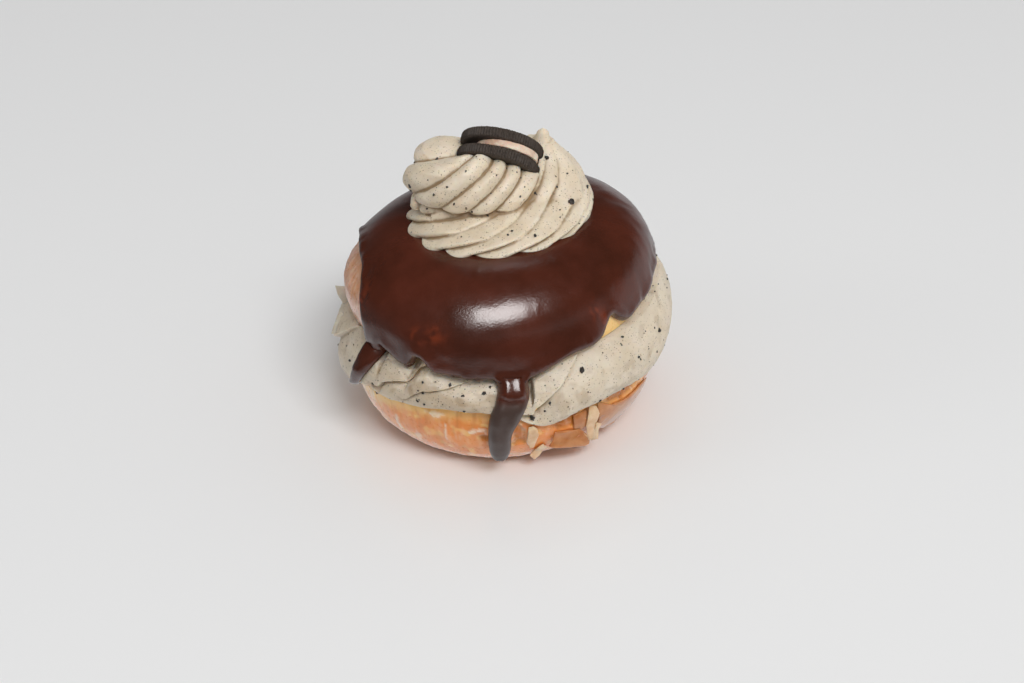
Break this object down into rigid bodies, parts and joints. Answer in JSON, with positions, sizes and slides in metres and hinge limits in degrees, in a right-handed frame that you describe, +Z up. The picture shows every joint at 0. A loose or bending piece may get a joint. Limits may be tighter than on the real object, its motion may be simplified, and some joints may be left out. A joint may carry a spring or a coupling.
{
  "type": "filled doughnut",
  "caption": "Split round doughnut with a piped cream filling, chocolate icing that runs down in drips, a piped cream swirl and a small sandwich biscuit on top.",
  "frame": {"origin": "middle of the flat face that the doughnut rests on", "axes": "+Z up; -Y towards the front, where the long icing drip hangs; +X to the right seen from the front"},
  "size_m": [0.1081, 0.1061, 0.0978],
  "materials": {
    "glazed_crust": "thin clear sugar glaze over fried crust",
    "filling_cream": "soft whipped cream with dark specks",
    "upper_crust": "thin clear sugar glaze over fried crust",
    "chocolate": "glossy poured chocolate icing",
    "swirl_cream": "soft piped cream with dark specks",
    "dark_wafer": "dry dark cocoa biscuit",
    "biscuit_cream": "matte sugar cream"
  },
  "bodies": {
    "root": {"lower_bun": "glazed_crust", "cream_filling": "filling_cream", "upper_bun": "upper_crust", "chocolate_icing": "chocolate", "cream_swirl": "swirl_cream", "biscuit_lower_wafer": "dark_wafer", "biscuit_upper_wafer": "dark_wafer", "biscuit_cream": "biscuit_cream"}
  },
  "joints": []
}
